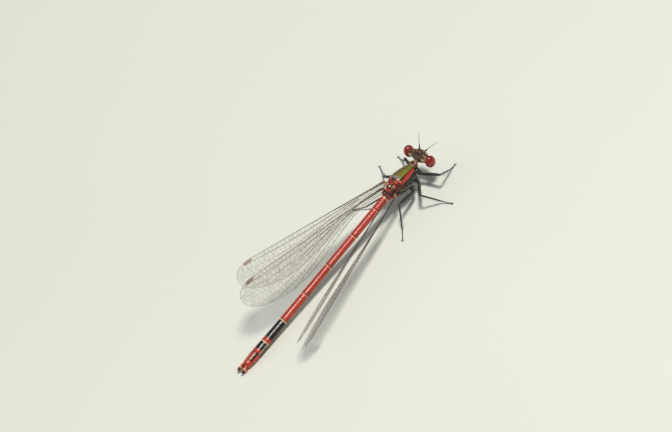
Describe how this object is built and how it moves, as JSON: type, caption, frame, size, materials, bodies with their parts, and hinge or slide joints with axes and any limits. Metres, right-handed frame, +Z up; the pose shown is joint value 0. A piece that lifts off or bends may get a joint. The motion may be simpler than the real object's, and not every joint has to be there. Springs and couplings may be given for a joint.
{
  "type": "male large red damselfly, still life-size model",
  "caption": "Life-size still model of a red and black damselfly standing on the floor with its clear wings half open.",
  "frame": {"origin": "middle of the bounding box at the floor", "axes": "+X towards the head, +Y to the animal's left, +Z up from the floor"},
  "size_m": [0.0366, 0.0122, 0.0114],
  "materials": {
    "head_bronze": "glossy black with a bronze sheen and pale marks",
    "eye_red": "glossy dark red compound eye",
    "antenna_black": "semi-gloss black",
    "neck_brown": "glossy brown with red and pale marks",
    "thorax_bronze": "glossy bronze black with a green-gold back and red stripes",
    "abdomen_red": "glossy brick red with fine dark joints",
    "abdomen_black": "glossy black with cream rings",
    "clasper_dark": "glossy dark red with black tips",
    "leg_black": "semi-gloss black",
    "wing_membrane": "clear glossy membrane with dark veins"
  },
  "bodies": {
    "root": {"head": "head_bronze", "eye_left": "eye_red", "antenna_left": "antenna_black", "eye_right": "eye_red", "antenna_right": "antenna_black", "prothorax": "neck_brown", "thorax": "thorax_bronze", "abdomen_segment_1": "abdomen_red", "abdomen_segment_2": "abdomen_red", "abdomen_segment_3": "abdomen_red", "abdomen_segment_4": "abdomen_red", "abdomen_segment_5": "abdomen_red", "abdomen_segment_6": "abdomen_red", "abdomen_segment_7": "abdomen_black", "abdomen_segment_8": "abdomen_black", "abdomen_segment_9": "abdomen_red", "abdomen_segment_10": "abdomen_red", "clasper_upper_left": "clasper_dark", "clasper_upper_right": "clasper_dark", "clasper_lower_left": "clasper_dark", "clasper_lower_right": "clasper_dark", "leg_front_left_femur": "leg_black", "leg_front_left_tibia": "leg_black", "leg_front_left_tarsus": "leg_black", "leg_front_right_femur": "leg_black", "leg_front_right_tibia": "leg_black", "leg_front_right_tarsus": "leg_black", "leg_middle_left_femur": "leg_black", "leg_middle_left_tibia": "leg_black", "leg_middle_left_tarsus": "leg_black", "leg_middle_right_femur": "leg_black", "leg_middle_right_tibia": "leg_black", "leg_middle_right_tarsus": "leg_black", "leg_hind_left_femur": "leg_black", "leg_hind_left_tibia": "leg_black", "leg_hind_left_tarsus": "leg_black", "leg_hind_right_femur": "leg_black", "leg_hind_right_tibia": "leg_black", "leg_hind_right_tarsus": "leg_black", "wing_fore_left": "wing_membrane", "wing_fore_right": "wing_membrane", "wing_hind_left": "wing_membrane", "wing_hind_right": "wing_membrane"}
  },
  "joints": []
}
